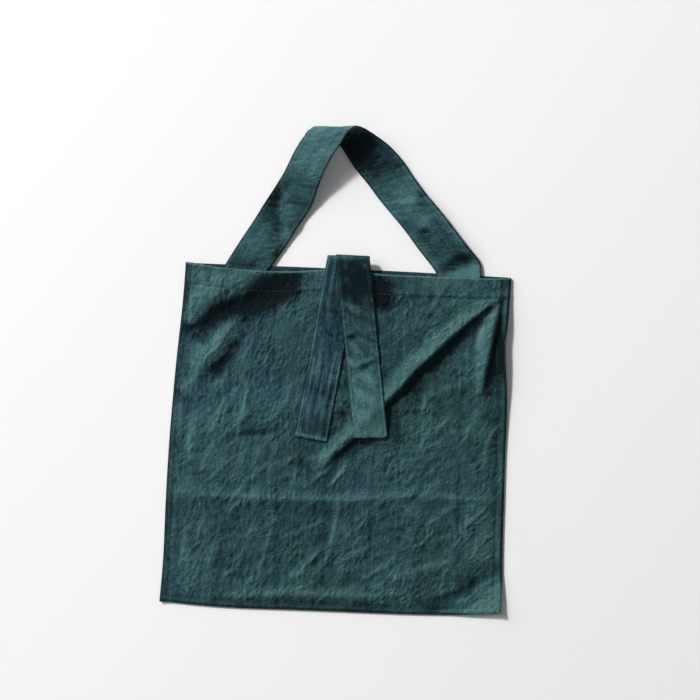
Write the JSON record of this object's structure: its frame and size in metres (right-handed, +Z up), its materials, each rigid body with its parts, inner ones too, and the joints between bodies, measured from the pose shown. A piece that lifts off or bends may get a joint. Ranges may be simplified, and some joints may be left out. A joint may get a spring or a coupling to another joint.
{
  "type": "tote bag",
  "caption": "Flat cloth tote bag with a hemmed mouth, a wide handle laid out in a soft bend, and two ties folded over its front.",
  "frame": {"origin": "middle of the back panel's underside, on the table that the bag lies on", "axes": "+Z up, away from the table; +Y from the bottom seam to the mouth and the handle; +X to the right for someone who looks down at the front panel with the mouth at the top"},
  "size_m": [0.38, 0.5379, 0.0304],
  "materials": {
    "panel_cloth": "washed plain-weave cotton and linen, dark teal",
    "seam_cloth": "the same cloth, raw edges turned in",
    "handle_cloth": "the same cloth folded into a flat band, pressed",
    "tie_cloth": "the same cloth folded into a flat band, creased along its length"
  },
  "bodies": {
    "bag": {"back_panel": "panel_cloth", "back_hem": "panel_cloth", "left_side_seam": "seam_cloth", "right_side_seam": "seam_cloth", "bottom_seam": "seam_cloth", "handle_left_end": "handle_cloth", "handle_right_end": "handle_cloth"},
    "front": {"front_panel": "panel_cloth", "front_hem": "panel_cloth", "lower_tie_end": "tie_cloth", "upper_tie_end": "tie_cloth"},
    "handle": {"handle": "handle_cloth"},
    "lower_tie": {"lower_tie": "tie_cloth"},
    "upper_tie": {"upper_tie": "tie_cloth"}
  },
  "joints": [
    {"name": "mouth", "type": "hinge", "parent": "bag", "child": "front", "pos_m": [0, -0.1915, 0.0028], "axis": [1, 0, 0], "range_deg": [0, 4.5]},
    {"name": "handle_swing", "type": "hinge", "parent": "bag", "child": "handle", "pos_m": [0, 0.2175, 0.00245], "axis": [1, 0, 0], "range_deg": [0, 110]},
    {"name": "lower_tie_fold", "type": "hinge", "parent": "front", "child": "lower_tie", "pos_m": [0, 0.2025, 0.01115], "axis": [-1, 0, 0], "range_deg": [0, 150]},
    {"name": "upper_tie_fold", "type": "hinge", "parent": "front", "child": "upper_tie", "pos_m": [0, 0.2025, 0.01115], "axis": [-1, 0, 0], "range_deg": [0, 150]}
  ],
  "couplings": [
    {"joint": "upper_tie_fold", "follows": "lower_tie_fold", "ratio": 1}
  ]
}
